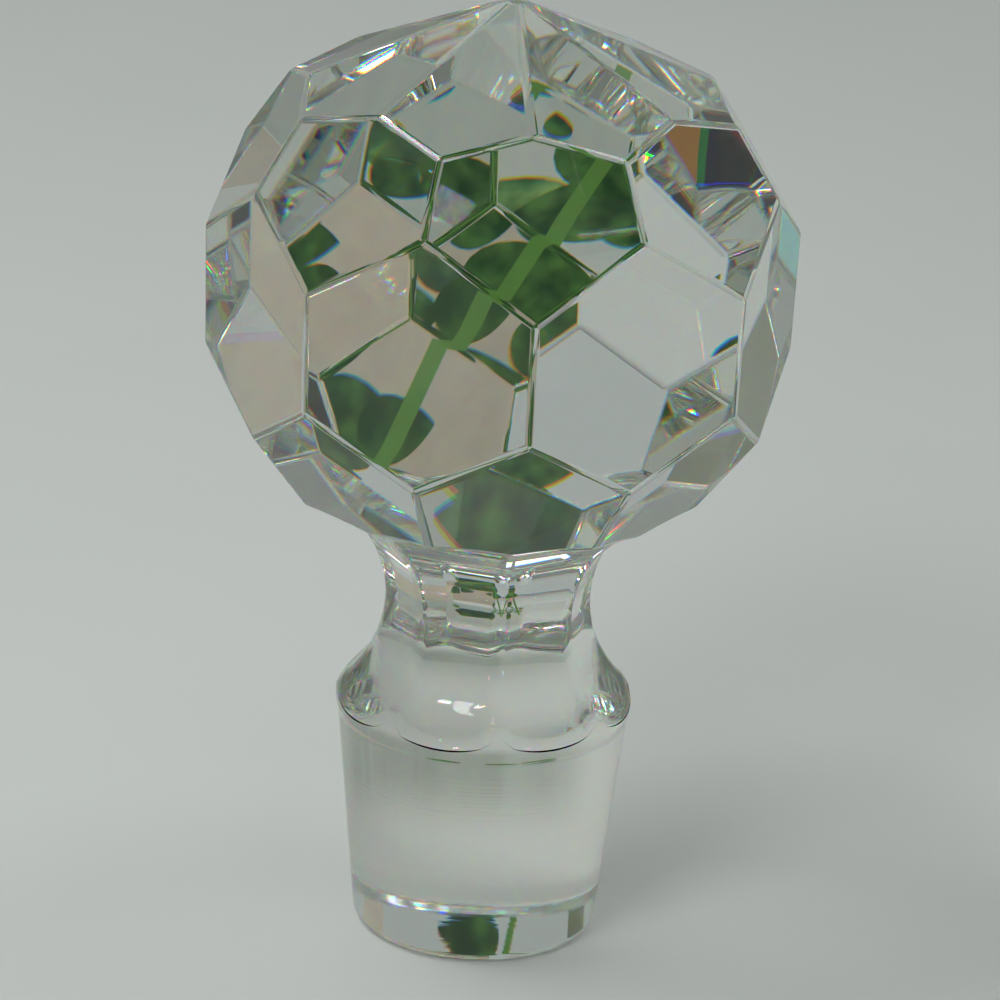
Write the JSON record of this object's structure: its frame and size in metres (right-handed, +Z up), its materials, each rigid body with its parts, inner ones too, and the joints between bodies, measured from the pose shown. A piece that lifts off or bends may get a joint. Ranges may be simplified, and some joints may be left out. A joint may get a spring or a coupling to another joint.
{
  "type": "cut crystal decanter stopper",
  "caption": "Solid clear crystal stopper: faceted ball on a fluted neck, with a rounded shoulder and a tapered plug that seals a decanter's mouth.",
  "frame": {"origin": "centre of the plug's flat end, on the stopper's axis", "axes": "+Z runs up the axis from the plug to the ball; +X and -Y each pass through the middle of a facet in the upper and the lower row"},
  "size_m": [0.0544, 0.0544, 0.09],
  "materials": {
    "crystal": "cut and polished lead crystal"
  },
  "bodies": {
    "root": {"stopper": "crystal"}
  },
  "joints": []
}
